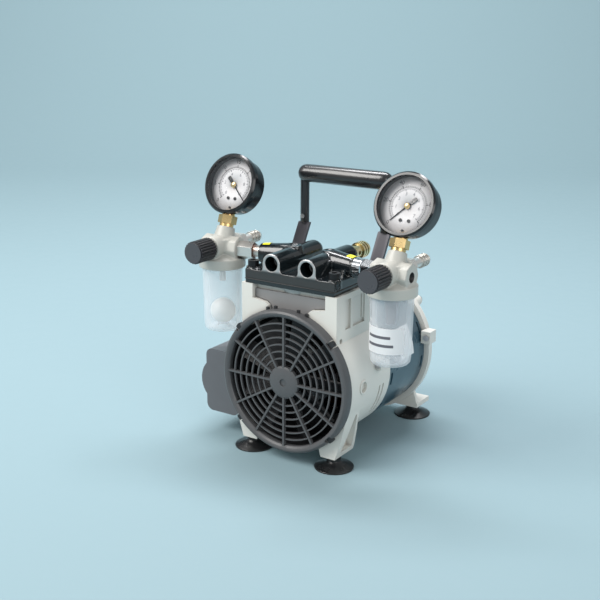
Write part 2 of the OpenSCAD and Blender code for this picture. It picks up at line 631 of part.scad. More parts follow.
module cord_gland() color([0.1, 0.1, 0.11]) home() left() difference() {
    union() {
        ycyl(6, box_y1 - 4, box_y1, box_x0 + 15, box_z0 + 12);
        ycyl(8, box_y1, box_y1 + 4, box_x0 + 15, box_z0 + 12);
        translate([box_x0 + 15, box_y1 + 14, box_z0 + 12]) rotate([90, 0, 0]) cylinder(r1 = 5, r2 = 7, h = 10);
    }
    ycyl(3.2, box_y1 - 5, box_y1 + 15, box_x0 + 15, box_z0 + 12);
}

// ---- handle ----
module strap_face() polygon([[block_back, tab_z0], [block_back + strap_t, tab_z0], [block_back + strap_t, lean_z0],
    [leg_y + strap_t / 2, lean_z1 - 1], [leg_y + strap_t / 2, lean_z1 + 14], [leg_y - strap_t / 2, lean_z1 + 14],
    [leg_y - strap_t / 2, lean_z1], [block_back, lean_z0 + 0.5]]);

module handle_straps() color([0.62, 0.63, 0.65]) home() both() difference() {
    wall_x(leg_x - strap_w / 2, leg_x + strap_w / 2) strap_face();
    for (x = [leg_x - strap_w / 2 - 1, leg_x + tongue_w / 2]) translate([x, leg_y - 8, lean_z1]) cube([(strap_w - tongue_w) / 2 + 1, 16, 20]);
    ycyl(2.2, block_back - 1, block_back + 6, leg_x, tab_z0 + 7);
}

module handle_grip() color([0.1, 0.1, 0.11]) home() difference() {
    union() {
        both() zcyl(leg_r, lean_z1, grip_z - 2, leg_x, leg_y);
        translate([0, leg_y, grip_z]) rotate([0, 90, 0]) rotate_extrude() polygon([for (p = [[0, 0], [4.4, 0.6], [6.5, 2.2], [7.8, 4.6], [grip_r, 8]]) [p[0], p[1] - grip_half],
            for (p = [[grip_r, 8], [7.8, 4.6], [6.5, 2.2], [4.4, 0.6], [0, 0]]) [p[0], grip_half - p[1]]]);
    }
    both() box(leg_x - tongue_w / 2, leg_x + tongue_w / 2, leg_y - strap_t / 2, leg_y + strap_t / 2, lean_z1 - 1, lean_z1 + 14);
    both() ycyl(2.1, leg_y - leg_r - 2, leg_y - leg_r + 0.6, leg_x, lean_z1 + 6);
}

module handle_screws() color([0.75, 0.76, 0.77]) home() both() {
    ycyl(2, block_back - 7, block_back + strap_t + 0.5, leg_x, tab_z0 + 7);
    ycyl(4.2, block_back + strap_t, block_back + strap_t + 3, leg_x, tab_z0 + 7);
    ycyl(2.1, leg_y - leg_r - 0.6, leg_y - leg_r + 0.6, leg_x, lean_z1 + 6);
}

// ---- feet ----
module foot_places() for (x = [-foot_x, foot_x], y = [foot_y1, foot_y2]) translate([x, y, 0]) children();

module suction_feet() color([0.07, 0.07, 0.08]) home() foot_places() rotate_extrude()
    polygon([[2.5, 4.5], [10, 2.2], [foot_r - 1.5, 0], [foot_r, 0], [foot_r, 1.4], [foot_r - 5, 3.2], [8, 5.2], [6.2, 7], [6.2, pad_h], [2.5, pad_h]]);

module foot_studs() color([0.6, 0.61, 0.62]) home() {
    foot_places() cylinder(r = 2.5, h = pad_h + 2 - 5) ;
    both() {
        zcyl(2.5, 5, pad_h + 13, foot_x, foot_y1);
        zcyl(2.5, 5, pad_h + 9.5, foot_x, foot_y2);
        translate([foot_x, foot_y2, pad_h + 4.5]) cylinder(r = 4.6, h = 4, $fn = 6);
    }
}

// ---- one trap, drawn on the right ----
module at_trap() translate([trap_x, trap_y, port_h]) children();
module at_stem(tilt) at_trap() rotate([-tilt, 0, 0]) children();
module at_gauge(tilt) at_trap() rotate([90 - tilt, 0, 0]) translate([0, gauge_up, gauge_fwd]) children();

module trap_head(tilt) difference() {
    union() {
        zcyl(cap_r, cap_z0, cap_z1, trap_x, trap_y);
        translate([trap_x, trap_y, cap_z1]) cylinder(r1 = cap_r - 1, r2 = 14, h = 3.5);
        zcyl(13, cap_z1 - 1, port_h + 10, trap_x, trap_y);
        at_trap() rotate([0, 90, 0]) cylinder(r = hex_r, h = trap_arm, $fn = 8);
        splayed() at_trap() rotate([0, -90, 0]) cylinder(r = hex_r, h = trap_arm, $fn = 8);
        ycyl(10.5, trap_y - 19, trap_y, trap_x, knob_h);
        ycyl(9.5, trap_y, trap_y + 22, trap_x, barb_h);
        at_stem(tilt) cylinder(r1 = 11.5, r2 = 8.2, h = boss_len);
        wall_x(trap_x - 2.5, trap_x + 2.5) polygon([[trap_y + 4, port_h + 6], [trap_y + 21, port_h + 8], [trap_y + 9, port_h + 17]]);
    }
    zcyl(jar_r + part_clear, cap_z0 - 1, cap_z1 - cap_ceiling, trap_x, trap_y);
    zcyl(4.5, cap_z0, port_h, trap_x, trap_y);
    xcyl(trap_port_r, trap_x + 5.5, trap_x + trap_arm + 1, trap_y, port_h);
    xcyl(3, trap_x, trap_x + 6, trap_y, port_h);
    splayed() {
        xcyl(trap_bore_r, trap_x - trap_arm - 1, trap_x - 6, trap_y, port_h);
        xcyl(fit_hex_r + part_clear, trap_x - cap_r - 3, trap_x - trap_arm, trap_y, port_h);
        xcyl(3.5, trap_x - 8, trap_x, trap_y, port_h);
    }
    ycyl(spindle_r + part_clear, trap_y - 20, trap_y - 3, trap_x, knob_h);
    ycyl(5, trap_y + 10, trap_y + 23, trap_x, barb_h);
    ycyl(3.5, trap_y - 4, trap_y + 11, trap_x, barb_h);
    at_stem(tilt) cylinder(r = 3, h = boss_len + 1);
    at_stem(tilt) translate([0, 0, boss_len - 8]) cylinder(r = stem_r, h = 10);
}

module jar() translate([trap_x, trap_y, 0]) rotate_extrude() polygon([[0, jar_z0], [jar_r - 6, jar_z0], [jar_r - 3.2, jar_z0 + 0.9], [jar_r - 1.8, jar_z0 + 2.6],
    [jar_r - 1.2, jar_z0 + 6.5], [jar_r - 0.2, cap_z0 - 2], [jar_r, cap_z0 - 1], [jar_r, jar_top], [jar_ri, jar_top], [jar_ri - 0.2, cap_z0 - 2],
    [jar_ri - 1.2, jar_z0 + 7], [jar_ri - 1.6, jar_z0 + 4], [jar_ri - 2.8, jar_z0 + 2.4], [jar_ri - 5, jar_z0 + jar_wall],
    [5.5, jar_z0 + jar_wall], [5, jar_z0 + jar_wall + stub], [0, jar_z0 + jar_wall + stub]]);

module flute_face() polygon([for (i = [0:71]) let (a = i * 5, k = i % 3, r = k == 0 ? knob_r - 0.9 : knob_r) [r * cos(a), r * sin(a)]]);

module knob() translate([trap_x, knob_rear, knob_h]) rotate([90, 0, 0]) difference() {
    union() {
        linear_extrude(knob_l - 1.5) flute_face();
        cylinder(r = knob_r - 1.1, h = knob_l);
    }
    translate([0, 0, -1]) cylinder(r = spindle_r + part_clear, h = knob_l - 3);
    translate([0, 0, -1]) cylinder(r = knob_r - 3, h = 5);
}

module spindle() union() {
    ycyl(spindle_r, knob_rear - 14, trap_y - 8, trap_x, knob_h);
    ycyl(2, trap_y - 9, trap_y - 5, trap_x, knob_h);
}

module hose_barb(len) difference() {
    union() {
        ycyl(5, trap_y + 10, trap_y + 22.5, trap_x, barb_h);
        translate([trap_x, trap_y + 31, barb_h]) rotate([90, 0, 0]) cylinder(r = 8.2, h = 9, $fn = 6);
        ycyl(4.4, trap_y + 31, trap_y + 36 + len, trap_x, barb_h);
        for (i = [0:2]) translate([trap_x, trap_y + 36 + len - i * 5, barb_h]) rotate([90, 0, 0]) cylinder(r1 = 4.4, r2 = 6, h = 4);
    }
    ycyl(2.8, trap_y + 9, trap_y + 60 + len, trap_x, barb_h);
}

module gauge_case(tilt) difference() {
    union() {
        at_gauge(tilt) translate([0, 0, -gauge_l]) cylinder(r1 = gauge_r - 4, r2 = gauge_r - 2.4, h = 2);
        at_gauge(tilt) translate([0, 0, 2 - gauge_l]) cylinder(r1 = gauge_r - 2.4, r2 = gauge_r - 1.4, h = gauge_l - 6);
        at_gauge(tilt) rotate_extrude() polygon([[gauge_r - 4, -7], [gauge_r - 0.4, -7], [gauge_r, -6.4], [gauge_r, -1.6], [gauge_r - 1.4, 0], [gauge_r - 3.4, 0], [gauge_r - 3.4, -2.4], [gauge_r - 4, -2.4]]);
    }
    at_gauge(tilt) translate([0, 0, 4 - gauge_l]) cylinder(r = gauge_r - 5, h = gauge_l - dial_in - 3.8);
    at_gauge(tilt) translate([0, 0, -dial_in - 0.5]) cylinder(r = gauge_r - 3, h = dial_in - 1.9);
    at_gauge(tilt) translate([0, 0, -2.5]) cylinder(r = gauge_r - 3.4, h = 3);
    at_stem(tilt) translate([0, 0, gauge_up - gauge_r - 5]) cylinder(r = 6, h = 10);
}

module gauge_dial(tilt) at_gauge(tilt) difference() {
    union() {
        translate([0, 0, -dial_in - 0.5]) cylinder(r = gauge_r - 3, h = 0.6);
        translate([0, 0, 4 - gauge_l]) cylinder(r = 8, h = gauge_l - dial_in - 4.4);
    }
    translate([0, 0, -dial_in - 5]) cylinder(r = 1 + run_clear, h = 12);
}

module gauge_pointer(tilt, a) at_gauge(tilt) rotate([0, 0, a]) union() {
    translate([0, 0, -dial_in - 4.7]) cylinder(r = 1, h = 5.5);
    translate([0, 0, 0.4 - dial_in]) cylinder(r = 2.4, h = 0.9);
    translate([0, 0, 0.4 - dial_in]) linear_extrude(0.5) polygon([[-1.3, -8.5], [1.3, -8.5], [1.1, -3.5], [0.6, -2],
        [0.25, gauge_r - 9], [-0.25, gauge_r - 9], [-0.6, -2], [-1.1, -3.5]]);
}

module gauge_lens(tilt) at_gauge(tilt) translate([0, 0, -2.4]) cylinder(r = gauge_r - 3.4, h = 1.4);

module gauge_stem(tilt) union() {
    at_stem(tilt) translate([0, 0, boss_len - 8]) cylinder(r = stem_r, h = 9);
    at_stem(tilt) translate([0, 0, boss_len]) cylinder(r = 6.6, h = 3);
    at_stem(tilt) translate([0, 0, boss_len + 3]) rotate([0, 0, 30]) cylinder(r = 8.8, h = gauge_up - gauge_r - boss_len - 3.5, $fn = 6);
    at_stem(tilt) translate([0, 0, gauge_up - gauge_r - 1]) cylinder(r = 6, h = 3.6);
}

module adapter(ring_r, ring_l) splayed() union() {
    xcyl(6, half_w - 9, half_w + 1, trap_y, port_z);
    xcyl(ring_r, half_w, half_w + ring_l, trap_y, port_h);
    translate([half_w + ring_l, trap_y, port_h]) rotate([0, 90, 0]) cylinder(r = fit_hex_r, h = trap_x - trap_arm - half_w - ring_l, $fn = 6);
    xcyl(trap_bore_r - thread_clear, trap_x - trap_arm - 1, trap_x - 8, trap_y, port_h);
}

module left_trap_head() color([0.8, 0.8, 0.77]) home() left() trap_head(left_tilt);
module left_jar() color([0.85, 0.88, 0.92, 0.5]) home() left() jar();
module left_knob() color([0.14, 0.14, 0.15]) home() left() knob();
module left_spindle() color([0.7, 0.71, 0.72]) home() left() spindle();
module left_adapter() color([0.72, 0.66, 0.6]) home() left() adapter(5.6, 7);
module left_hose_barb() color([0.75, 0.75, 0.74]) home() left() hose_barb(22);
module left_gauge_case() color([0.06, 0.06, 0.07]) home() left() gauge_case(left_tilt);
module left_gauge_dial() color([0.95, 0.95, 0.93]) home() left() gauge_dial(left_tilt);
module left_gauge_pointer() color([0.05, 0.05, 0.05]) home() left() gauge_pointer(left_tilt, 135);
module left_gauge_lens() color([0.9, 0.95, 1, 0.3]) home() left() gauge_lens(left_tilt);
module left_gauge_stem() color([0.78, 0.6, 0.25]) home() left() gauge_stem(left_tilt);
module left_float() color([0.95, 0.95, 0.95]) home() left() translate([trap_x, trap_y, jar_z0 + jar_wall + stub + float_r + part_clear]) sphere(r = float_r);
module left_dip_tube() color([0.93, 0.93, 0.92]) home() left() union() {
    zcyl(4.5, cap_z1 - cap_ceiling - 4, port_h - 6, trap_x, trap_y);
    zcyl(3, cap_z0 - 14, cap_z1 - cap_ceiling, trap_x, trap_y);
}
module right_trap_head() color([0.8, 0.8, 0.77]) home() trap_head(right_tilt);
module right_jar() color([0.85, 0.88, 0.92, 0.5]) home() jar();
module right_knob() color([0.14, 0.14, 0.15]) home() knob();
module right_spindle() color([0.7, 0.71, 0.72]) home() spindle();
module right_adapter() color([0.8, 0.81, 0.82]) home() adapter(8.2, 9);
module right_hose_barb() color([0.75, 0.75, 0.74]) home() hose_barb(26);
module right_gauge_case() color([0.06, 0.06, 0.07]) home() gauge_case(right_tilt);
module right_gauge_dial() color([0.95, 0.95, 0.93]) home() gauge_dial(right_tilt);
module right_gauge_pointer() color([0.05, 0.05, 0.05]) home() gauge_pointer(right_tilt, 135);
module right_gauge_lens() color([0.9, 0.95, 1, 0.3]) home() gauge_lens(right_tilt);
module right_gauge_stem() color([0.78, 0.6, 0.25]) home() gauge_stem(right_tilt);
module right_muffler() color([0.5, 0.52, 0.55]) home() union() {
    zcyl(4.5, cap_z1 - cap_ceiling - 4, port_h - 6, trap_x, trap_y);
    wall_y(trap_y - 2.5, trap_y + 2.5) polygon([[trap_x - 6.5, cap_z1 - cap_ceiling], [trap_x - 6.5, cap_z0], [trap_x - 4, cap_z0 - 26],
        [trap_x + 4, cap_z0 - 26], [trap_x + 6.5, cap_z0], [trap_x + 6.5, cap_z1 - cap_ceiling]]);
}

crankcase();
fan_grille();
air_baffle();
cylinder_sleeve();
valve_plate();
valve_reeds();
head_gasket();
cylinder_head();
head_bolts();
shaft_bearings();
motor_shell();
stator_core();
stator_windings();
rear_end_bell();
through_bolts();
lug_screws();
box_base();
box_cover();
run_capacitor();
power_rocker();
cord_gland();
handle_straps();
handle_grip();
handle_screws();
suction_feet();
foot_studs();
relief_valve();
motor_shaft();
rotor_core();
cooling_fan();
eccentric();
connecting_rod();
rod_bearing();
piston_cup();
cup_retainer();
left_trap_head();
left_jar();
left_knob();
left_spindle();
left_adapter();
left_hose_barb();
left_gauge_case();
left_gauge_dial();
left_gauge_pointer();
left_gauge_lens();
left_gauge_stem();
left_float();
left_dip_tube();
right_trap_head();
right_jar();
right_knob();
right_spindle();
right_adapter();
right_hose_barb();
right_gauge_case();
right_gauge_dial();
right_gauge_pointer();
right_gauge_lens();
right_gauge_stem();
right_muffler();
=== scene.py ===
# %% [markdown]
# # A dry rocking-piston vacuum pump, dressed in Blender
# The solids come from a CAD frame and stay exactly where they are. This lesson gives them
# soft edges, finishes with grain and variation, and the small things that a CAD model leaves
# out: dial figures, stickers, screw slots, thread rings and labels.

# %% Load the frame
import json
import math

import bmesh
import bpy
from mathutils import Matrix, Vector


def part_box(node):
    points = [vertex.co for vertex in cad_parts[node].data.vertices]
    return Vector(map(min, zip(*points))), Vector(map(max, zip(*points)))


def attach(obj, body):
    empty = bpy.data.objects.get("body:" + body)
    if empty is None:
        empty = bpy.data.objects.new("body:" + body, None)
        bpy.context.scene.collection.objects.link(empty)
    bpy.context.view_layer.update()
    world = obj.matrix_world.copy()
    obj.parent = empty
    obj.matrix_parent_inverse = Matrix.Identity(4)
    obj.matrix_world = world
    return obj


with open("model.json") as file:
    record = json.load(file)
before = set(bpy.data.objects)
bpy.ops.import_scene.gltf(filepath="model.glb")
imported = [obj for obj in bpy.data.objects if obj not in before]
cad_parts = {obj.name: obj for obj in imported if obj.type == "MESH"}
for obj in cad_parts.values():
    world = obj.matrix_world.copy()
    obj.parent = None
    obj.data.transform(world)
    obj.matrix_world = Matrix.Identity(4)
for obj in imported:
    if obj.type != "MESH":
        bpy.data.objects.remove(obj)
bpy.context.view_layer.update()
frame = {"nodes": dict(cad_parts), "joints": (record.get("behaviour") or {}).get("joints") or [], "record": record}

nodes = frame["nodes"]
MM = 0.001

# %% [markdown]
# ## Camera
# A product picture like this is taken from a little above, turned about a third of the way
# round to the right, with a long lens. The camera comes first, because every finish is
# judged through it. Depth of field stays off so that side views can reuse the same camera.

# %% Place the camera
CAMERA_AT = Vector((0.48167, -0.79945, 0.39862))
CAMERA_AIM = Vector((-0.02068, -0.02925, 0.13591))
CAMERA_ROLL = math.radians(0.24)
camera = bpy.data.objects.new("camera", bpy.data.cameras.new("camera"))
bpy.context.scene.collection.objects.link(camera)
camera.data.sensor_width = 36
camera.data.lens = 61.66
camera.location = CAMERA_AT
camera.rotation_mode = "QUATERNION"
aim = (CAMERA_AIM - CAMERA_AT).to_track_quat("-Z", "Y")
camera.rotation_quaternion = aim @ Matrix.Rotation(CAMERA_ROLL, 3, "Z").to_quaternion()
bpy.context.scene.camera = camera
bpy.context.scene.view_settings.view_transform = "Standard"
print("camera distance:", round((CAMERA_AIM - CAMERA_AT).length, 3), "m")

# %% [markdown]
# ## Helpers for meshes
# Most trim is made from three moves: turning an outline round an axis, extruding a flat
# outline, and bending a strip round a barrel. Each helper returns a linked object, so a
# piece is one short call and a name.

# %% Mesh helpers
def link_mesh(title, points, faces, smooth=True):
    """A new object from points and faces, with its normals pointing outwards."""
    mesh = bpy.data.meshes.new(title)
    mesh.from_pydata([tuple(p) for p in points], [], faces)
    shape = bmesh.new()
    shape.from_mesh(mesh)
    bmesh.ops.remove_doubles(shape, verts=shape.verts, dist=1e-7)
    bmesh.ops.recalc_face_normals(shape, faces=shape.faces)
    shape.to_mesh(mesh)
    shape.free()
    if smooth:
        mesh.shade_smooth()
        mesh.set_sharp_from_angle(angle=math.radians(35))
    piece = bpy.data.objects.new(title, mesh)
    bpy.context.scene.collection.objects.link(piece)
    return piece


def turned(title, profile, place, steps=48):
    """Turns [radius, height] pairs about Z, then puts the result where place says. All in mm."""
    points, faces, rows = [], [], len(profile)
    for i in range(steps):
        turn = 2 * math.pi * i / steps
        for r, h in profile:
            points.append(place @ Vector((r * math.cos(turn) * MM, r * math.sin(turn) * MM, h * MM)))
    for i in range(steps):
        j = (i + 1) % steps
        for k in range(rows - 1):
            faces.append((i * rows + k, j * rows + k, j * rows + k + 1, i * rows + k + 1))
    return link_mesh(title, points, faces)


def slab(outline, low, high):
    """Points and faces of a flat outline given a thickness from low to high."""
    n = len(outline)
    points = [(x, y, low) for x, y in outline] + [(x, y, high) for x, y in outline]
    faces = [tuple(range(n)), tuple(range(2 * n - 1, n - 1, -1))]
    faces += [(i, (i + 1) % n, n + (i + 1) % n, n + i) for i in range(n)]
    return points, faces


def joined(parts):
    """Several [points, faces] pairs as one pair."""
    points, faces = [], []
    for p, f in parts:
        base = len(points)
        points += list(p)
        faces += [tuple(base + i for i in face) for face in f]
    return points, faces


# %% [markdown]
# ## Finishes
# A real finish is never one flat colour. Paint is mottled by handling, moulded plastic has a
# fine spark-eroded grain, and bare metal keeps the lines of the tool. One helper builds them
# all: a broad noise shifts the colour and the gloss, and a fine noise lifts a bump. The
# coordinates are the object's own, in metres, so a grain is the same size on every part.

# %% The finish helper
def finish(title, colour, rough, metal=0.0, mottle=0.05, rough_spread=0.05, grain_mm=0.5,
           height_mm=0.01, stretch=(1, 1, 1), crease_shade_colour=None, crease_shade_strength=0.0, **sockets):
    """A Principled material with mottled colour, varied gloss, a fine relief and, when a crease colour is given,
    painted shade in creases.
    """
    material = bpy.data.materials.new(title)
    material.use_nodes = True
    tree = material.node_tree
    shader = tree.nodes["Principled BSDF"]
    shader.inputs["Metallic"].default_value = metal
    for socket, value in sockets.items():
        shader.inputs[socket.replace("_", " ")].default_value = value
    where = tree.nodes.new("ShaderNodeTexCoord").outputs["Object"]

    broad = tree.nodes.new("ShaderNodeTexNoise")
    broad.inputs["Scale"].default_value = 55.0
    broad.inputs["Detail"].default_value = 5.0
    tree.links.new(where, broad.inputs["Vector"])
    tint = tree.nodes.new("ShaderNodeMix")
    tint.data_type = "RGBA"
    tint.inputs["A"].default_value = [c * (1 - mottle) for c in colour] + [1]
    tint.inputs["B"].default_value = [min(1, c * (1 + mottle)) for c in colour] + [1]
    tree.links.new(broad.outputs["Fac"], tint.inputs["Factor"])
    shade = tint.outputs["Result"]

    # Painted shade: an ambient-occlusion mask darkens the colour towards the given crease colour in creases and
    # recesses, where shade falls.
    if crease_shade_colour is not None:
        crease = tree.nodes.new("ShaderNodeAmbientOcclusion")
        crease.inputs["Distance"].default_value = 4 * MM
        crease.samples = 4
        crease_shade_mask = tree.nodes.new("ShaderNodeMapRange")
        crease_shade_mask.inputs["From Min"].default_value = 0.35
        crease_shade_mask.inputs["From Max"].default_value = 0.95
        crease_shade_mask.inputs["To Min"].default_value = crease_shade_strength
        crease_shade_mask.inputs["To Max"].default_value = 0.0
        tree.links.new(crease.outputs["AO"], crease_shade_mask.inputs["Value"])
        crease_shaded = tree.nodes.new("ShaderNodeMix")
        crease_shaded.data_type = "RGBA"
        crease_shaded.inputs["B"].default_value = list(crease_shade_colour) + [1]
        tree.links.new(shade, crease_shaded.inputs["A"])
        tree.links.new(crease_shade_mask.outputs["Result"], crease_shaded.inputs["Factor"])
        shade = crease_shaded.outputs["Result"]
    tree.links.new(shade, shader.inputs["Base Color"])

    gloss = tree.nodes.new("ShaderNodeMapRange")
    gloss.inputs["From Min"].default_value = 0.3
    gloss.inputs["From Max"].default_value = 0.7
    gloss.inputs["To Min"].default_value = max(0.02, rough - rough_spread)
    gloss.inputs["To Max"].default_value = min(1.0, rough + rough_spread)
    tree.links.new(broad.outputs["Fac"], gloss.inputs["Value"])
    tree.links.new(gloss.outputs["Result"], shader.inputs["Roughness"])

    if height_mm:
        scaled = tree.nodes.new("ShaderNodeMapping")
        scaled.inputs["Scale"].default_value = stretch
        tree.links.new(where, scaled.inputs["Vector"])
        fine = tree.nodes.new("ShaderNodeTexNoise")
        fine.inputs["Scale"].default_value = 1 / (grain_mm * MM)
        fine.inputs["Detail"].default_value = 2.0
        tree.links.new(scaled.outputs["Vector"], fine.inputs["Vector"])
        bump = tree.nodes.new("ShaderNodeBump")
        bump.inputs["Distance"].default_value = height_mm * MM
        bump.inputs["Strength"].default_value = 0.9
        tree.links.new(fine.outputs["Fac"], bump.inputs["Height"])
        tree.links.new(bump.outputs["Normal"], shader.inputs["Normal"])
    return material


# %% [markdown]
# The crankcase, bell and trap heads are die castings or mouldings in warm white; the shell
# is a slate blue enamel; the head is a gloss black casting whose front was milled after
# painting, so its port rims are bare metal.

# %% Paints and plastics
casting_white = finish("casting_white", (0.7, 0.685, 0.64), 0.42, mottle=0.03, grain_mm=0.7,
                       height_mm=0.02, crease_shade_colour=(0.34, 0.33, 0.3), crease_shade_strength=0.55)
trap_white = finish("trap_white", (0.5, 0.495, 0.455), 0.38, mottle=0.03, grain_mm=0.9,
                    height_mm=0.012, crease_shade_colour=(0.36, 0.35, 0.32), crease_shade_strength=0.5)
shell_blue = finish("shell_blue", (0.03, 0.075, 0.105), 0.3, mottle=0.06, grain_mm=1.4,
                    height_mm=0.01, Coat_Weight=0.3, Coat_Roughness=0.15)
head_black = finish("head_black", (0.006, 0.009, 0.011), 0.17, mottle=0.1, rough_spread=0.06,
                    grain_mm=1.6, height_mm=0.03, Coat_Weight=0.35, Coat_Roughness=0.06)
grille_grey = finish("grille_grey", (0.085, 0.086, 0.09), 0.42, mottle=0.05, grain_mm=0.35,
                     height_mm=0.012)
box_grey = finish("box_grey", (0.125, 0.126, 0.136), 0.36, mottle=0.05, grain_mm=0.5,
                  height_mm=0.012)
plate_grey = finish("plate_grey", (0.23, 0.225, 0.225), 0.5, mottle=0.06, grain_mm=0.6,
                    height_mm=0.01)
knob_black = finish("knob_black", (0.016, 0.016, 0.019), 0.42, mottle=0.08, grain_mm=0.4,
                    height_mm=0.008)
knob_face = finish("knob_face", (0.06, 0.06, 0.068), 0.28, mottle=0.06, grain_mm=0.3,
                   height_mm=0.008)
grip_black = finish("grip_black", (0.012, 0.012, 0.014), 0.3, mottle=0.08, grain_mm=0.9,
                    height_mm=0.01, Coat_Weight=0.5, Coat_Roughness=0.12)
case_black = finish("case_black", (0.006, 0.008, 0.01), 0.16, mottle=0.08, grain_mm=1.1,
                    height_mm=0.008)
black_oxide = finish("black_oxide", (0.02, 0.02, 0.022), 0.38, metal=0.6, mottle=0.1,
                     grain_mm=0.5, height_mm=0.006)
fan_black = finish("fan_black", (0.02, 0.02, 0.022), 0.45, mottle=0.08, grain_mm=0.6)
foot_rubber = finish("foot_rubber", (0.008, 0.008, 0.009), 0.3, mottle=0.12, grain_mm=0.8,
                     height_mm=0.02, crease_shade_colour=(0.06, 0.06, 0.058), crease_shade_strength=0.3)
float_white = finish("float_white", (0.9, 0.9, 0.88), 0.4, mottle=0.02, grain_mm=0.6)
muffler_grey = finish("muffler_grey", (0.3, 0.32, 0.36), 0.6, mottle=0.06, grain_mm=0.5,
                      height_mm=0.03)
gasket_fibre = finish("gasket_fibre", (0.05, 0.05, 0.05), 0.75, mottle=0.15, grain_mm=0.3)
dial_paper = finish("dial_paper", (0.72, 0.7, 0.71), 0.5, mottle=0.015, grain_mm=0.3,
                    height_mm=0.002)
print("paints and plastics:", len(bpy.data.materials))

# %% [markdown]
# Inks, stickers and labels are thin printed layers. They share one recipe with the plastics,
# with a finer grain, because paper and vinyl are smoother than a moulding.

# %% Inks and labels
dial_ink = finish("dial_ink", (0.03, 0.03, 0.035), 0.55, mottle=0.1, grain_mm=0.2,
                  height_mm=0.002)
pale_ink = finish("pale_ink", (0.12, 0.12, 0.14), 0.55, mottle=0.08, grain_mm=0.2,
                  height_mm=0.002)
yellow_vinyl = finish("yellow_vinyl", (0.87, 0.8, 0.02), 0.35, mottle=0.04, grain_mm=0.5,
                      height_mm=0.006)
label_white = finish("label_white", (0.78, 0.78, 0.79), 0.4, mottle=0.02, grain_mm=0.6,
                     height_mm=0.004)

# %% [markdown]
# Bare metals differ mostly in colour and in the length of their tool marks. A stretched
# noise gives the marks a direction: round a turned part, along a rolled strap.

# %% Metals
brass = finish("turned_brass", (0.86, 0.63, 0.3), 0.3, metal=1.0, mottle=0.1,
               rough_spread=0.08, grain_mm=0.4, height_mm=0.008, crease_shade_colour=(0.3, 0.17, 0.05),
               crease_shade_strength=0.6)
nickel = finish("nickel_plate", (0.78, 0.76, 0.72), 0.32, metal=0.85, mottle=0.06,
                rough_spread=0.07, grain_mm=0.8, height_mm=0.006, crease_shade_colour=(0.2, 0.19, 0.17),
                crease_shade_strength=0.5)
pale_brass = finish("pale_brass", (0.84, 0.72, 0.42), 0.26, metal=1.0, mottle=0.1,
                    grain_mm=0.4, height_mm=0.008, crease_shade_colour=(0.22, 0.15, 0.05), crease_shade_strength=0.6)
chrome = finish("bright_chrome", (0.8, 0.82, 0.84), 0.1, metal=1.0, mottle=0.03,
                rough_spread=0.03, grain_mm=1.2, height_mm=0.004)
plain_steel = finish("plain_steel", (0.5, 0.5, 0.52), 0.34, metal=1.0, mottle=0.08,
                     grain_mm=0.5, height_mm=0.008)
milled_alloy = finish("milled_alloy", (0.42, 0.42, 0.41), 0.42, metal=0.7, mottle=0.06,
                      grain_mm=0.35, height_mm=0.01, stretch=(0.15, 1, 1))
strap_steel = finish("strap_steel", (0.09, 0.087, 0.1), 0.5, metal=0.3, mottle=0.08,
                     grain_mm=0.5, height_mm=0.01, stretch=(1, 1, 0.12))
core_steel = finish("core_steel", (0.25, 0.25, 0.26), 0.45, metal=0.9, mottle=0.1,
                    grain_mm=0.6, height_mm=0.03, stretch=(0.1, 1, 0.1))
winding_copper = finish("winding_copper", (0.45, 0.15, 0.05), 0.35, metal=0.8, mottle=0.15,
                        grain_mm=0.7, height_mm=0.12)
print("materials:", len(bpy.data.materials))

# %% [markdown]
# The head was painted black and then milled flat across its front. A mask finds the milled
# part by how close it lies to the front plane. It is bright on the port rims and dark on the
# base below them. Mixing two whole shaders with the mask keeps paint gloss off the metal.

# %% Milled front of the head
FULLY_BARE = 0.6
DARK_METAL, BRIGHT_METAL = 0.07, 0.5


def masked_front(title, painted, bare, front_y, base_z, depth_mm=0.9):
    """Painted all over, but bare on the face at front_y, and duller below base_z."""
    material = painted.copy()
    material.name = title
    tree = material.node_tree
    paint = tree.nodes["Principled BSDF"]
    metal = tree.nodes.new("ShaderNodeBsdfPrincipled")
    source = bare.node_tree.nodes["Principled BSDF"]
    for socket in ("Metallic", "Specular IOR Level"):
        metal.inputs[socket].default_value = source.inputs[socket].default_value
    split = tree.nodes.new("ShaderNodeSeparateXYZ")
    local = tree.nodes.new("ShaderNodeTexCoord")
    tree.links.new(local.outputs["Object"], split.inputs["Vector"])
    tone = tree.nodes.new("ShaderNodeMapRange")
    tone.inputs["From Min"].default_value = base_z
    tone.inputs["From Max"].default_value = base_z + 2.5 * MM
    tone.inputs["To Min"].default_value = DARK_METAL
    tone.inputs["To Max"].default_value = BRIGHT_METAL
    tree.links.new(split.outputs["Z"], tone.inputs["Value"])
    tree.links.new(tone.outputs["Result"], metal.inputs["Base Color"])
    near = tree.nodes.new("ShaderNodeMapRange")
    near.inputs["From Min"].default_value = front_y + depth_mm * MM
    near.inputs["From Max"].default_value = front_y + FULLY_BARE * depth_mm * MM
    tree.links.new(split.outputs["Y"], near.inputs["Value"])
    scratch = tree.nodes.new("ShaderNodeTexNoise")
    scratch.inputs["Scale"].default_value = 900
    tree.links.new(local.outputs["Object"], scratch.inputs["Vector"])
    dull = tree.nodes.new("ShaderNodeMapRange")
    dull.inputs["To Min"].default_value = 0.3
    dull.inputs["To Max"].default_value = 0.5
    tree.links.new(scratch.outputs["Fac"], dull.inputs["Value"])
    tree.links.new(dull.outputs["Result"], metal.inputs["Roughness"])
    blend = tree.nodes.new("ShaderNodeMixShader")
    tree.links.new(near.outputs["Result"], blend.inputs["Fac"])
    tree.links.new(paint.outputs["BSDF"], blend.inputs[1])
    tree.links.new(metal.outputs["BSDF"], blend.inputs[2])
    tree.links.new(blend.outputs["Shader"], tree.nodes["Material Output"].inputs["Surface"])
    return material


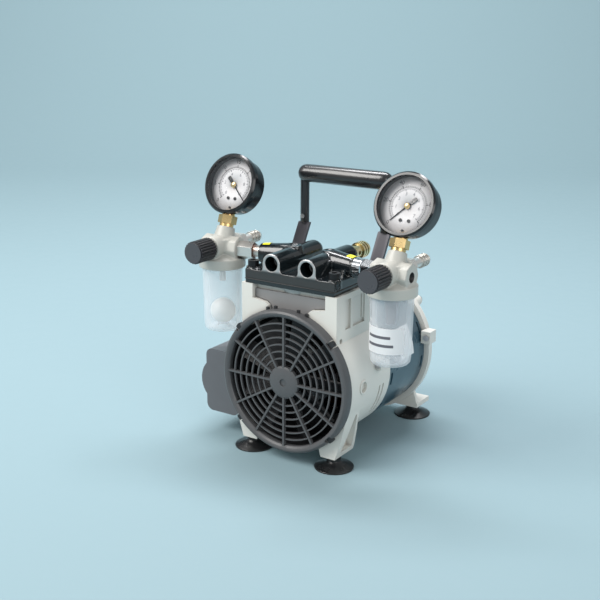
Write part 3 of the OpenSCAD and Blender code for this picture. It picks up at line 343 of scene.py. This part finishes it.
HEAD_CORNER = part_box("cylinder_head")[0]
HEAD_FRONT = HEAD_CORNER.y
BASE_HEIGHT = 8 * MM
head_milled = masked_front("head_milled", head_black, milled_alloy, HEAD_FRONT,
                           HEAD_CORNER.z + BASE_HEIGHT)
print("head front at", round(HEAD_FRONT / MM, 2), "mm")

# %% [markdown]
# Two finishes are see-through. The jars are milky moulded plastic, and each skin hides
# about a sixth of what is behind it where it faces you and half of it at a grazing angle,
# which brightens the edges. The dial lens is clear and only adds a faint reflection.

# %% Clear finishes
jar_milky = finish("jar_milky", (0.92, 0.94, 0.97), 0.2, mottle=0.015, grain_mm=3.0,
                   height_mm=0.01)
rim = jar_milky.node_tree.nodes.new("ShaderNodeLayerWeight")
rim.inputs["Blend"].default_value = 0.35
cloud = jar_milky.node_tree.nodes.new("ShaderNodeMapRange")
cloud.inputs["To Min"].default_value = 0.17
cloud.inputs["To Max"].default_value = 0.55
jar_milky.node_tree.links.new(rim.outputs["Facing"], cloud.inputs["Value"])
jar_milky.node_tree.links.new(cloud.outputs["Result"],
                              jar_milky.node_tree.nodes["Principled BSDF"].inputs["Alpha"])
lens_clear = finish("lens_clear", (0.8, 0.85, 0.9), 0.04, mottle=0.0, rough_spread=0.01,
                    height_mm=0.0, Alpha=0.02, Specular_IOR_Level=0.15)

# %% [markdown]
# ## Dressing the CAD nodes
# Sharp CAD edges catch no light. Welding the split corners and adding a small bevel gives
# each part the thin bright line that a real edge has. The bevel is a modifier, so the
# node's own mesh stays as it was packed.

# %% Edges and finishes for every node
SIDES = {"left": -1, "right": 1}
dress = {
    "crankcase": (casting_white, 0.5), "rear_end_bell": (casting_white, 0.5),
    "fan_grille": (grille_grey, 0.25), "air_baffle": (plate_grey, 0.3),
    "cylinder_sleeve": (milled_alloy, 0.2), "valve_plate": (head_black, 0.25),
    "valve_reeds": (plain_steel, 0), "head_gasket": (gasket_fibre, 0),
    "cylinder_head": (head_milled, 0), "head_bolts": (black_oxide, 0.3),
    "shaft_bearings": (plain_steel, 0.2), "motor_shell": (shell_blue, 0.3),
    "stator_core": (core_steel, 0.2), "stator_windings": (winding_copper, 0.8),
    "through_bolts": (plain_steel, 0.2), "lug_screws": (plain_steel, 0.3),
    "box_base": (box_grey, 0.4), "box_cover": (box_grey, 0.8),
    "run_capacitor": (milled_alloy, 0.5), "power_rocker": (fan_black, 0.4),
    "cord_gland": (fan_black, 0.4), "handle_straps": (strap_steel, 0.35),
    "handle_grip": (grip_black, 0.8), "handle_screws": (plain_steel, 0.4),
    "suction_feet": (foot_rubber, 0.4), "foot_studs": (plain_steel, 0.3),
    "relief_valve": (pale_brass, 0.4), "motor_shaft": (plain_steel, 0.4),
    "rotor_core": (core_steel, 0.3), "cooling_fan": (fan_black, 0.3),
    "eccentric": (core_steel, 0.4), "connecting_rod": (milled_alloy, 0.5),
    "rod_bearing": (plain_steel, 0.3), "piston_cup": (fan_black, 0.2),
    "cup_retainer": (milled_alloy, 0.3), "left_float": (float_white, 0),
    "left_dip_tube": (float_white, 0.3), "right_muffler": (muffler_grey, 0.5),
}
for side in SIDES:
    dress.update({
        side + "_trap_head": (trap_white, 0), side + "_jar": (jar_milky, 0),
        side + "_knob": (knob_black, 0.25), side + "_spindle": (plain_steel, 0.2),
        side + "_adapter": (nickel if side == "left" else chrome, 0.35),
        side + "_hose_barb": (nickel, 0.3), side + "_gauge_case": (case_black, 0.4),
        side + "_gauge_dial": (dial_paper, 0), side + "_gauge_pointer": (case_black, 0),
        side + "_gauge_lens": (lens_clear, 0), side + "_gauge_stem": (brass, 0.35),
    })


def soften(part, width_mm):
    """Welds the split corners, then bevels every edge sharper than 30 degrees."""
    weld = part.modifiers.new("weld", "WELD")
    weld.merge_threshold = 1e-6
    if width_mm:
        bevel = part.modifiers.new("bevel", "BEVEL")
        bevel.width = width_mm * MM
        bevel.segments = 2
        bevel.limit_method = "ANGLE"
        bevel.angle_limit = math.radians(30)
        bevel.harden_normals = True


for name, part in nodes.items():
    material, width_mm = dress[name]
    part.data.materials.clear()
    part.data.materials.append(material)
    if "custom_normal" in part.data.attributes:
        part.data.attributes.remove(part.data.attributes["custom_normal"])
    part.data.shade_smooth()
    soften(part, width_mm)
print("dressed:", len(nodes))

# %% [markdown]
# ## Cast forms
# The head and the two trap heads are castings, whose ribs and bosses melt into each other
# with fillets. A voxel remesh followed by a little smoothing rounds every inside corner at
# once, which edge bevels can't do where many shapes cross.

# %% Fillets for the castings
def fillet(part, grain_mm, passes):
    remesh = part.modifiers.new("cast", "REMESH")
    remesh.mode = "VOXEL"
    remesh.voxel_size = grain_mm * MM
    remesh.use_smooth_shade = True
    relax = part.modifiers.new("relax", "SMOOTH")
    relax.factor = 0.6
    relax.iterations = passes


fillet(nodes["cylinder_head"], 0.6, 5)
for side in SIDES:
    fillet(nodes[side + "_trap_head"], 0.6, 6)

# %% [markdown]
# ## Second finishes on one part
# Some parts carry two finishes: a knob has a paler, smoother end, the inside of the crankcase
# is painted black as shade, the grille's teeth are black, and one pipe fitting ends in a
# copper-coloured ring.
# Each face of the mesh picks its finish from where it lies, so no new geometry is needed.

# %% Pick a second finish by place
joints = {joint["name"]: joint for joint in frame["joints"]}
SHAFT_Z = joints["shaft_spin"]["pos_m"][2]


def second_finish(name, material, chosen):
    """Gives material to each face of a node for which chosen(centre, normal) is true."""
    mesh = nodes[name].data
    mesh.materials.append(material)
    count = 0
    for face in mesh.polygons:
        if chosen(face.center, face.normal):
            face.material_index = len(mesh.materials) - 1
            count += 1
    return count


case_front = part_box("crankcase")[0]
CASE_INSIDE = 61.7 * MM
PLANE_SLACK = 0.3 * MM


def from_shaft(point):
    return math.hypot(point.x, point.z - SHAFT_Z)


# Painted shade: the inside faces of the crankcase take the black fan finish, which darkens the unlit inside of the
# case; the real pump also has a dark fan shroud there.
inside = second_finish(
    "crankcase", fan_black,
    lambda c, n: from_shaft(c) < CASE_INSIDE and c.y > case_front.y + PLANE_SLACK)
print("dark faces inside the case:", inside)
grille_low, grille_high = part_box("fan_grille")
rim_radius = (grille_high.x - grille_low.x) / 2
second_finish("fan_grille", fan_black,
              lambda c, n: from_shaft(c) > rim_radius + 0.2 * MM)
for side in SIDES:
    second_finish(side + "_knob", knob_face, lambda c, n: n.y < -0.9)

# %% [markdown]
# The pipe fittings don't run square to the pump: they turn a little towards the head. The
# ring on the left one is found by its distance from the trap.

# %% Copper-coloured ring on the left fitting
copper_ring = finish("copper_ring", (0.3, 0.19, 0.15), 0.35, metal=0.9, mottle=0.12,
                     grain_mm=0.4, height_mm=0.012)
left_trap = Vector(joints["left_jar_turn"]["pos_m"])
left_trap.z = 0
RING_FROM, RING_TO = 33 * MM, 36.5 * MM
second_finish("left_adapter", copper_ring,
              lambda c, n: RING_FROM < (Vector((c.x, c.y, 0)) - left_trap).length < RING_TO)

# %% [markdown]
# ## Gauges
# A dial is a white plate with two printed scales, three quarters of a turn long. The outer
# scale is the bold one. Ticks are thin raised bars and the figures are set in the default
# font, then turned into mesh so that one object holds a whole print.

# %% The frame of a gauge
def gauge_place(side):
    """A matrix from a gauge's own millimetre axes to the frame: X right, Y up, Z outwards."""
    joint = joints[side + "_gauge_sweep"]
    outward = Vector(joint["axis"])
    if outward.y > 0:
        outward = -outward
    right = Vector((1, 0, 0))
    up = outward.cross(right)
    place = Matrix((right, up, outward)).transposed().to_4x4()
    place.translation = Vector(joint["pos_m"])
    return place


def height_along(name, place):
    """How far a node reaches along the gauge's own Z, in mm."""
    back = place.inverted()
    return max((back @ v.co).z for v in nodes[name].data.vertices) / MM


def finished(piece, material, body):
    """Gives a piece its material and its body."""
    piece.data.materials.append(material)
    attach(piece, body)
    return piece


# %% Ticks and figures
SWEEP_START, SWEEP = 225, -270
PRINT_MM = 0.06


def tick(turn, inner, outer, width, low):
    """A radial bar on the dial, as points and faces in mm."""
    a = math.radians(turn)
    ray, across = Vector((math.cos(a), math.sin(a))), Vector((-math.sin(a), math.cos(a)))
    outline = [ray * r + across * w for r, w in
               ((inner, -width / 2), (outer, -width / 2), (outer, width / 2), (inner, width / 2))]
    return slab([(p.x, p.y) for p in outline], low, low + PRINT_MM)


def arc(radius, width, low, steps=90):
    """A printed line along the sweep."""
    turns = [math.radians(SWEEP_START + SWEEP * i / steps) for i in range(steps + 1)]
    outer, inner = ([(r * math.cos(t), r * math.sin(t)) for t in turns]
                    for r in (radius + width / 2, radius - width / 2))
    parts = [slab([outer[i], outer[i + 1], inner[i + 1], inner[i]], low, low + PRINT_MM)
             for i in range(steps)]
    return joined(parts)


def figure(words, size, x, y, low):
    """A number as points and faces in mm, centred on x and y."""
    letters = bpy.data.curves.new("figure", "FONT")
    letters.body, letters.size = words, size
    letters.align_x, letters.align_y = "CENTER", "CENTER"
    letters.resolution_u = 3
    letters.extrude = PRINT_MM / 2
    sign = bpy.data.objects.new("figure", letters)
    bpy.context.scene.collection.objects.link(sign)
    bpy.context.view_layer.update()
    mesh = sign.evaluated_get(bpy.context.evaluated_depsgraph_get()).to_mesh()
    points = [(v.co.x + x, v.co.y + y, v.co.z + low + PRINT_MM / 2) for v in mesh.vertices]
    faces = [tuple(p.vertices) for p in mesh.polygons]
    sign.evaluated_get(bpy.context.evaluated_depsgraph_get()).to_mesh_clear()
    bpy.data.objects.remove(sign)
    return points, faces


def scale_print(low, ticks_at, figures_at, major, per_major, numbers, size, width):
    """One scale: long and short ticks, a line under them, and its figures."""
    inner, outer = ticks_at
    parts = [arc(inner if figures_at > outer else outer, 0.3, low)]
    count = major * per_major
    for i in range(count + 1):
        turn = SWEEP_START + SWEEP * i / count
        long = i % per_major == 0
        reach = outer if long or figures_at < inner else inner + 0.6 * (outer - inner)
        start = inner if long or figures_at > outer else outer - 0.6 * (outer - inner)
        parts.append(tick(turn, start, reach, width * (1.6 if long else 1), low))
    for i, words in enumerate(numbers):
        a = math.radians(SWEEP_START + SWEEP * i / (len(numbers) - 1))
        parts.append(figure(words, size, figures_at * math.cos(a), figures_at * math.sin(a), low))
    return joined(parts)


def printed(title, parts, place, material):
    points, faces = parts
    piece = link_mesh(title, [place @ (Vector(p) * MM) for p in points], faces, smooth=False)
    return finished(piece, material, "chassis")


SCALES = {
    "left": (["0", "5", "10", "15", "20", "25", "30"], ["0", "2", "4", "6", "8", "10"]),
    "right": (["0", "20", "40", "60", "80", "100"], ["0", "1", "2", "3", "4", "5", "6", "7"]),
}
gauge_places = {side: gauge_place(side) for side in SIDES}
dial_face = {side: height_along(side + "_gauge_dial", gauge_places[side]) for side in SIDES}
for side, (outer_words, inner_words) in SCALES.items():
    low = dial_face[side]
    place = gauge_places[side]
    outer_scale = scale_print(low, (16.4, 18.8), 22.0, len(outer_words) - 1, 10, outer_words,
                              5.0, 0.6)
    inner_scale = scale_print(low, (13.6, 15.2), 11.0, len(inner_words) - 1, 5, inner_words,
                              4.2, 0.45)
    printed(side + "_scale_outer", outer_scale, place, dial_ink)
    printed(side + "_scale_inner", inner_scale, place, pale_ink)
print("dial faces at", {k: round(v, 2) for k, v in dial_face.items()}, "mm")

# %% [markdown]
# The pointer turns under a brass cap pressed on its hub, and a broad dark tail balances
# it. Both ride on the pointer's body, so they sweep with it. Two slotted screws hold the
# dial, and a small stud near the bottom stops the pointer.

# %% Cap, tail, screws and stud
def slotted_screw(radius, height, slot_mm):
    """Half-round screw head with a slot: two D-shaped lands with a gap between them."""
    parts = []
    for turn in (0, math.pi):
        half = []
        begin = math.asin(slot_mm / 2 / radius)
        for i in range(13):
            a = begin + (math.pi - 2 * begin) * i / 12 + turn
            half.append((radius * math.cos(a), radius * math.sin(a)))
        parts.append(slab(half, 0, height))
    ring = [(radius * math.cos(2 * math.pi * i / 24), radius * math.sin(2 * math.pi * i / 24))
            for i in range(24)]
    parts.append(slab(ring, -height * 0.5, 0))
    return joined(parts)


def moved(parts, x, y, z, turn=0.0):
    """Turns points and faces about Z, then shifts them. In mm."""
    points, faces = parts
    c, s = math.cos(turn), math.sin(turn)
    return [(c * p[0] - s * p[1] + x, s * p[0] + c * p[1] + y, p[2] + z) for p in points], faces


REST_TIP = {"left": -45, "right": 225}
for side in SIDES:
    place = gauge_places[side]
    low = dial_face[side]
    hub_top = height_along(side + "_gauge_pointer", place)
    cap = turned(side + "_pointer_cap", [(0.001, hub_top + 1.5), (1.6, hub_top + 1.4),
                 (2.5, hub_top + 0.9), (2.8, hub_top + 0.2), (2.8, hub_top), (0.001, hub_top)],
                 place, 32)
    finished(cap, brass, side + "_pointer_body")
    tail = [(-3.4, -1.1), (-4.4, -1.7), (-9.8, -1.7), (-10.2, -1.2), (-10.2, 1.2), (-9.8, 1.7),
            (-4.4, 1.7), (-3.4, 1.1)]
    points, faces = moved(slab(tail, hub_top - 0.8, hub_top - 0.2), 0, 0, 0,
                          math.radians(REST_TIP[side]))
    plate = link_mesh(side + "_pointer_tail", [place @ (Vector(p) * MM) for p in points], faces)
    finished(plate, case_black, side + "_pointer_body")
    fixings = joined([moved(slotted_screw(1.5, 0.5, 0.4), x, -12.6, low + 0.3, turn)
                      for x, turn in ((-3.9, 0.6), (3.9, 2.1))]
                     + [moved(slotted_screw(1.1, 0.9, 0.3), 0, -21.4, low + 0.3, 0.2)])
    points, faces = fixings
    screws = link_mesh(side + "_dial_screws", [place @ (Vector(p) * MM) for p in points], faces)
    finished(screws, black_oxide, "chassis")

# %% [markdown]
# ## Stickers and labels
# A sticker is a thin skin bent round a barrel. Bending is simple in mesh code: rows of
# points at equal turns about the barrel's axis, with a second skin just outside the first.

# %% Skins bent round a barrel
def wrapped(title, centre, axis, zero, radius, along, turns, thick=0.12, steps=24, grow=0.0):
    """A skin round an axis, between two turns from the zero direction. In mm.

    The radius may grow by the given amount over the skin's length, to lie on a cone."""
    axis, zero = Vector(axis).normalized(), Vector(zero).normalized()
    side_way = axis.cross(zero)
    points, faces = [], []
    for i in range(steps + 1):
        a = math.radians(turns[0] + (turns[1] - turns[0]) * i / steps)
        ray = zero * math.cos(a) + side_way * math.sin(a)
        for r, h in ((radius, along[0]), (radius + grow, along[1]),
                     (radius + grow + thick, along[1]), (radius + thick, along[0])):
            points.append(Vector(centre) + (ray * r + axis * h) * MM)
    for i in range(steps):
        a, b = 4 * i, 4 * (i + 1)
        faces += [(a + k, b + k, b + (k + 1) % 4, a + (k + 1) % 4) for k in range(4)]
    faces += [(0, 1, 2, 3), (4 * steps + 3, 4 * steps + 2, 4 * steps + 1, 4 * steps)]
    return link_mesh(title, points, faces)


SPLAY = math.radians(11.7)
ports = {mount["name"]: mount for mount in frame["record"]["mounts"]}
PORT_AXIS_Z = ports["left_head_port"]["pos_m"][2]
PORT_HEIGHT = ports["left_trap_port"]["pos_m"][2]
ARM_LENGTH = 18 * MM
for side, sign in SIDES.items():
    trap = Vector(joints[side + "_jar_turn"]["pos_m"])
    trap.z = PORT_AXIS_Z
    inward = Vector((-sign * math.cos(SPLAY), math.sin(SPLAY), 0))
    sticker = wrapped(side + "_port_sticker", trap, inward, (0, 0, 1), 9.3,
                      (42.6, 49.6), (-30, 22) if sign < 0 else (-22, 30), 0.16, 24, 0.72)
    finished(sticker, yellow_vinyl, "chassis")

# %% [markdown]
# The right jar has a white band with two grey bars in place of words, and the motor shell
# has a plain white plate behind that jar.

# %% Bands and plates
right_trap = Vector(joints["right_jar_turn"]["pos_m"])
jar_low, jar_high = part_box("right_jar")
jar_radius = (jar_high.x - jar_low.x) / 2 / MM
band = wrapped("jar_band", (right_trap.x, right_trap.y, 0), (0, 0, 1), (0, -1, 0),
               jar_radius - 0.62, (117, 139.5), (-105, 62), 0.5, 64)
finished(band, label_white, "right_jar_body")
for i, (height, turns) in enumerate(((130.5, (-44, 26)), (123.2, (-46, 34)))):
    bar = wrapped(f"jar_band_bar_{i + 1}", (right_trap.x, right_trap.y, 0), (0, 0, 1),
                  (0, -1, 0), jar_radius - 0.1, (height, height + 2.4), turns, 0.06, 48)
    finished(bar, pale_ink, "right_jar_body")

shell_low, shell_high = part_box("motor_shell")
shell_radius = (shell_high.x - shell_low.x) / 2 / MM
shell_mid = Vector((0, (shell_low.y + shell_high.y) / 2, SHAFT_Z))
plate = wrapped("shell_plate", shell_mid, (0, 1, 0), (1, 0, 0), shell_radius + 0.02,
                (-14, 12), (-4, -30), 0.3, 40)
finished(plate, label_white, "chassis")
print("labels done")

# %% [markdown]
# ## Studio
# The pump stands on a seamless pale blue sweep: a floor that curves up into a wall with no
# visible corner. One large soft light comes from above and to the left, a wide weak one
# fills from the right, and a strip overhead draws the bright lines on the black parts. A
# fourth light washes the wall, so that it is as pale as the floor.

# %% Sweep and lights
def sweep(width=7.0, front=-3.0, corner=1.6, radius=1.4, top=3.6, steps=24):
    """A floor that bends up into a wall."""
    path = [(front, 0.0), (corner, 0.0)]
    for i in range(1, steps + 1):
        turn = math.pi / 2 * i / steps
        path.append((corner + radius * math.sin(turn), radius * (1 - math.cos(turn))))
    path.append((corner + radius, top))
    points = [(x, y, z) for y, z in path for x in (-width / 2, width / 2)]
    faces = [(2 * i, 2 * i + 1, 2 * i + 3, 2 * i + 2) for i in range(len(path) - 1)]
    return link_mesh("sweep", points, faces)


backdrop = sweep()
backdrop.rotation_euler.z = math.radians(33)
backdrop.data.materials.append(
    finish("sweep_paper", (0.25, 0.36, 0.4), 0.75, mottle=0.01, grain_mm=1.0, height_mm=0.0))


def soft_light(title, place, aim_at, size, watts, colour=(1, 1, 1)):
    lamp = bpy.data.objects.new(title, bpy.data.lights.new(title, "AREA"))
    bpy.context.scene.collection.objects.link(lamp)
    lamp.data.shape = "RECTANGLE"
    lamp.data.size, lamp.data.size_y = size
    lamp.data.energy = watts
    lamp.data.color = colour
    lamp.location = place
    lamp.rotation_mode = "QUATERNION"
    lamp.rotation_quaternion = (Vector(aim_at) - Vector(place)).to_track_quat("-Z", "Y")
    return lamp


PUMP_MIDDLE = (0, 0, 0.13)
soft_light("key", (-0.9, -1.1, 1.5), PUMP_MIDDLE, (1.1, 1.1), 36, (1.0, 0.98, 0.95))
soft_light("fill", (1.7, -0.9, 0.9), PUMP_MIDDLE, (1.2, 1.2), 13, (1.0, 0.99, 0.98))
soft_light("top_strip", (-0.15, 0.35, 1.2), PUMP_MIDDLE, (0.9, 0.25), 9, (0.98, 0.97, 1.0))
soft_light("wash", (-0.7, 0.9, 2.4), (-1.4, 2.3, 0.6), (2.4, 0.8), 60, (1.0, 1.0, 1.0))
world = bpy.data.worlds.new("studio")
bpy.context.scene.world = world
world.use_nodes = True
world.node_tree.nodes["Background"].inputs["Color"].default_value = (0.88, 0.92, 0.94, 1)
world.node_tree.nodes["Background"].inputs["Strength"].default_value = 0.5

# %% [markdown]
# ## Latches and threads
# The grille snaps in with four black latches, one in each notch of its rim. The free port
# of each trap has a thread, a tube turned from a sawtooth profile, and the thread is black
# as painted shade inside the port.

# %% Small black pieces
def chamfered(size, chamfer, low, high, x, y, turn):
    """A block with cut corners, turned about the middle, as points and faces in mm."""
    w, h = size[0] / 2, size[1] / 2
    c = chamfer
    outline = [(-w + c, -h), (w - c, -h), (w, -h + c), (w, h - c),
               (w - c, h), (-w + c, h), (-w, h - c), (-w, -h + c)]
    return moved(slab(outline, low, high), x, y, 0, turn)


def on_front(parts):
    """Turns a drawing (right, up, outwards) into frame metres, measured from the shaft."""
    points, faces = parts
    front_y = case_front.y
    return [(x * MM, front_y - z * MM, SHAFT_Z + y * MM) for x, y, z in points], faces


grille_radius = rim_radius / MM
reach = (case_front.y - grille_low.y) / MM
latches = []
for angle in (42, 138, 222, 318):
    a = math.radians(angle)
    latches.append(chamfered((6.2, 5.4), 0.9, reach - 6.5, reach - 2.2,
                             (grille_radius - 1.6) * math.cos(a),
                             (grille_radius - 1.6) * math.sin(a), a))
points, faces = on_front(joined(latches))
finished(link_mesh("grille_latches", points, faces), fan_black, "chassis")
print("latches:", len(latches), "grille radius", round(grille_radius, 1), "mm")

THREAD_ROOT, THREAD_CREST, THREAD_PITCH, THREAD_TURNS = 4.35, 3.85, 1.2, 7
for side, sign in SIDES.items():
    port = Vector(joints[side + "_jar_turn"]["pos_m"])
    mouth = port.x + sign * ARM_LENGTH
    teeth = [(THREAD_ROOT, 0.0)]
    for i in range(THREAD_TURNS):
        teeth.append((THREAD_CREST, -(i + 0.5) * THREAD_PITCH))
        teeth.append((THREAD_ROOT, -(i + 1) * THREAD_PITCH))
    teeth.append((3.2, -8.6))
    place = Matrix.Translation((mouth, port.y, PORT_HEIGHT)) @ (
        Matrix.Rotation(sign * math.pi / 2, 4, "Y"))
    # The thread is black as painted shade in the port's bore.
    thread_shade = turned(side + "_port_thread", teeth, place, 40)
    finished(thread_shade, fan_black, "chassis")
